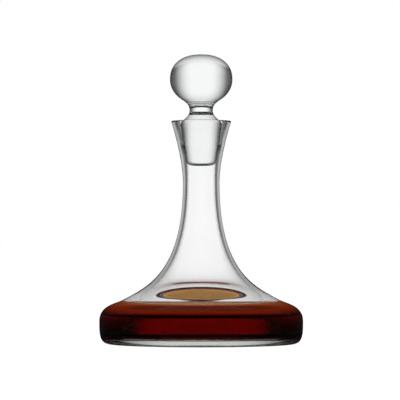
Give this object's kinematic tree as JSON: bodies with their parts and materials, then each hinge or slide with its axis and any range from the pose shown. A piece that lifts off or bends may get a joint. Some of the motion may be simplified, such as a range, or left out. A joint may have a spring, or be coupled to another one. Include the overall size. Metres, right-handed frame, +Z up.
{
  "type": "ships decanter",
  "caption": "Broad, low-bellied glass decanter with a flared neck, a ball stopper that lifts out of it and a fill of red wine; its wide foot keeps it steady on a moving table.",
  "frame": {"origin": "centre of the foot, on the table", "axes": "+Z up along the axis on which bottle, wine and stopper are turned; +X to the right and +Y away from the viewer"},
  "size_m": [0.1874, 0.1874, 0.2662],
  "materials": {
    "bottle_glass": "polished",
    "stopper_glass": "polished",
    "red_wine": "polished"
  },
  "bodies": {
    "bottle": {"decanter": "bottle_glass", "wine": "red_wine"},
    "stopper": {"stopper": "stopper_glass"}
  },
  "joints": [
    {"name": "stopper_lift", "type": "slide", "parent": "bottle", "child": "stopper", "axis": [0, 0, 1], "range_m": [0, 0.1]}
  ]
}
